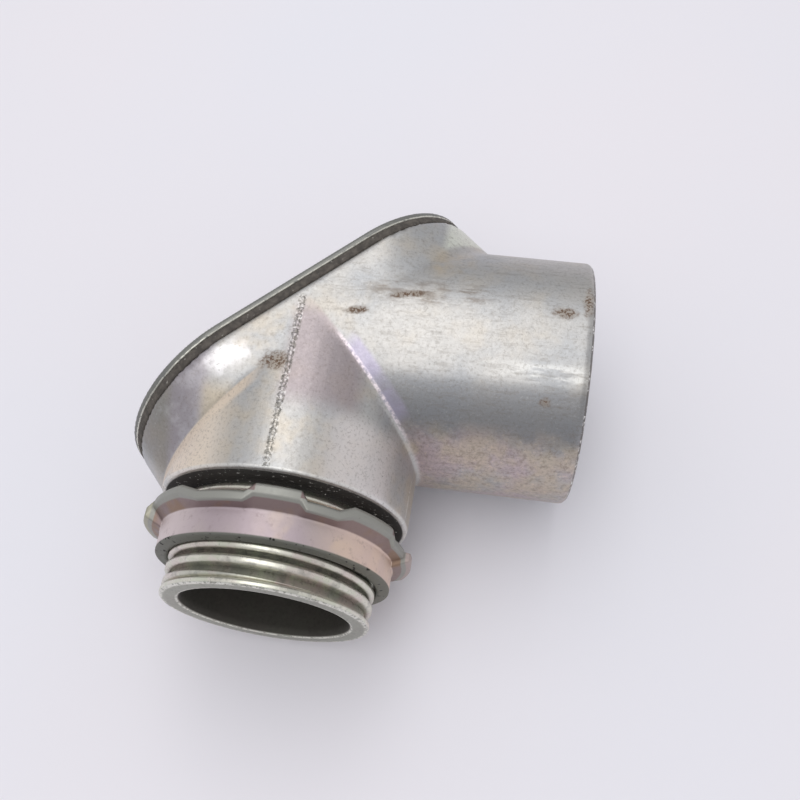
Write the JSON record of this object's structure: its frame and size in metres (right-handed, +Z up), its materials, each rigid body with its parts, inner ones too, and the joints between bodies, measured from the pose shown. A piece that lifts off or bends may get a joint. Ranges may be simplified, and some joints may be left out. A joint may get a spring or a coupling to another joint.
{
  "type": "conduit pull elbow",
  "caption": "Right-angle electrical conduit elbow: plain round female hub, threaded male nipple with toothed locknut, and a gasketed oblong access cover across the outer corner.",
  "frame": {"origin": "on the hub's axis, at the outer end of its threaded wall, where the wall meets the bevel at the mouth", "axes": "+X out of the hub along its axis, -Y out of the threaded nipple along its axis, +Z square to the plane of the bend; the elbow lies on its side with Z up"},
  "size_m": [0.0742, 0.0753, 0.0426],
  "materials": {
    "cast_body": "zinc plated casting, bright and finely speckled",
    "cover_plate": "zinc plated sheet, worn edge",
    "gasket_sheet": "dark brown-grey cork and rubber sheet, rough cut edge",
    "screw_steel": "zinc plated",
    "locknut_steel": "zinc plated with a pinkish iridescent passivation, satin"
  },
  "bodies": {
    "elbow": {"elbow_body": "cast_body", "cover_gasket": "gasket_sheet"},
    "lid": {"cover": "cover_plate"},
    "screw_one": {"cover_screw_1": "screw_steel"},
    "screw_two": {"cover_screw_2": "screw_steel"},
    "nut": {"locknut": "locknut_steel"}
  },
  "joints": [
    {"name": "locknut_turn", "type": "hinge", "parent": "elbow", "child": "nut", "pos_m": [-0.0459, -0.0376, 0], "axis": [0, -1, 0], "continuous": true},
    {"name": "cover_lift", "type": "slide", "parent": "elbow", "child": "lid", "axis": [-0.7071, 0.7071, 0], "range_m": [0, 0.03]},
    {"name": "screw_one_turn", "type": "hinge", "parent": "lid", "child": "screw_one", "pos_m": [-0.07033, -0.01955, 0], "axis": [-0.7071, 0.7071, 0], "continuous": true},
    {"name": "screw_two_turn", "type": "hinge", "parent": "lid", "child": "screw_two", "pos_m": [-0.02635, 0.02443, 0], "axis": [-0.7071, 0.7071, 0], "continuous": true}
  ]
}
